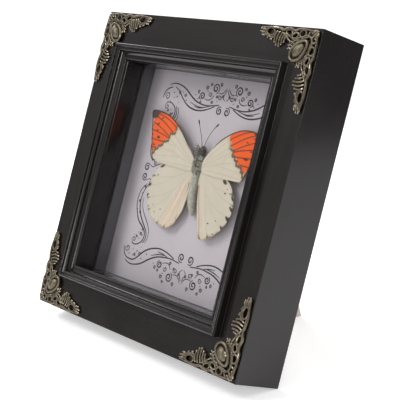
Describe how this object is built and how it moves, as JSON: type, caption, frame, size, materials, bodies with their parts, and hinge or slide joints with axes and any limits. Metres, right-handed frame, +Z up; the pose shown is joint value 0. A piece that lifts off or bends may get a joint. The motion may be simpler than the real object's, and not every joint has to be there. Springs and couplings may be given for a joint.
{
  "type": "framed butterfly specimen",
  "caption": "Set butterfly under glass in a deep black square shadow-box frame with cast corner ornaments, leaning back on a folding easel strut.",
  "frame": {"origin": "on the table, under the middle of the whole standing object", "axes": "+Z up, +X to the viewer's right, +Y from the frame's front towards the strut behind it"},
  "size_m": [0.175, 0.1201, 0.1754],
  "materials": {
    "black_lacquer": "satin black lacquer",
    "antique_brass": "antiqued, dark in the recesses and rubbed bright on the high parts",
    "clear_glass": "polished",
    "grey_mount_board": "matt",
    "lilac_card": "matt, printed with fine black scrolls",
    "orange_tip_wing": "matt wing scales, cream with an orange tip edged in black",
    "cream_wing": "matt wing scales, cream with small dark marks at the margin",
    "furred_body": "grey-green fur and scales",
    "dark_feeler": "dull brown-black horn",
    "clear_glue": "set glue",
    "brown_hardboard": "raw fibreboard",
    "tan_strut_board": "raw fibreboard",
    "zinc_plated_steel": "dull zinc plate"
  },
  "bodies": {
    "frame": {"rail_top": "black_lacquer", "rail_left": "black_lacquer", "rail_bottom": "black_lacquer", "rail_right": "black_lacquer", "corner_ornament_top_left": "antique_brass", "corner_ornament_top_right": "antique_brass", "corner_ornament_bottom_left": "antique_brass", "corner_ornament_bottom_right": "antique_brass", "glass_pane": "clear_glass", "spacer_top": "grey_mount_board", "spacer_bottom": "grey_mount_board", "spacer_left": "grey_mount_board", "spacer_right": "grey_mount_board", "backing_card": "lilac_card", "butterfly_body": "furred_body", "forewing_left": "orange_tip_wing", "forewing_right": "orange_tip_wing", "hindwing_left": "cream_wing", "hindwing_right": "cream_wing", "antenna_left": "dark_feeler", "antenna_right": "dark_feeler", "glue_dab": "clear_glue", "back_panel": "brown_hardboard", "hinge_leaf_on_panel": "zinc_plated_steel", "hinge_pin": "zinc_plated_steel", "hinge_screw_top_left": "zinc_plated_steel", "hinge_screw_top_right": "zinc_plated_steel", "pivot_screw_top_left": "zinc_plated_steel", "pivot_screw_top_right": "zinc_plated_steel", "pivot_screw_bottom_left": "zinc_plated_steel", "pivot_screw_bottom_right": "zinc_plated_steel"},
    "strut": {"easel_strut": "tan_strut_board", "hinge_leaf_on_strut": "zinc_plated_steel", "hinge_screw_bottom_left": "zinc_plated_steel", "hinge_screw_bottom_right": "zinc_plated_steel"},
    "button_top_left": {"turn_button_top_left": "zinc_plated_steel"},
    "button_top_right": {"turn_button_top_right": "zinc_plated_steel"},
    "button_bottom_left": {"turn_button_bottom_left": "zinc_plated_steel"},
    "button_bottom_right": {"turn_button_bottom_right": "zinc_plated_steel"}
  },
  "joints": [
    {"name": "strut_hinge", "type": "hinge", "parent": "frame", "child": "strut", "pos_m": [0, 0.01726, 0.13297], "axis": [1, 0, 0], "range_deg": [-35.5, 0]},
    {"name": "swivel_top_left", "type": "hinge", "parent": "frame", "child": "button_top_left", "pos_m": [-0.0725, 0.00903, 0.11515], "axis": [0, 0.9492, -0.3147], "range_deg": [-90, 90]},
    {"name": "swivel_top_right", "type": "hinge", "parent": "frame", "child": "button_top_right", "pos_m": [0.0725, 0.00903, 0.11515], "axis": [0, 0.9492, -0.3147], "range_deg": [-90, 90]},
    {"name": "swivel_bottom_left", "type": "hinge", "parent": "frame", "child": "button_bottom_left", "pos_m": [-0.0725, -0.01236, 0.05061], "axis": [0, 0.9492, -0.3147], "range_deg": [-90, 90]},
    {"name": "swivel_bottom_right", "type": "hinge", "parent": "frame", "child": "button_bottom_right", "pos_m": [0.0725, -0.01236, 0.05061], "axis": [0, 0.9492, -0.3147], "range_deg": [-90, 90]}
  ]
}
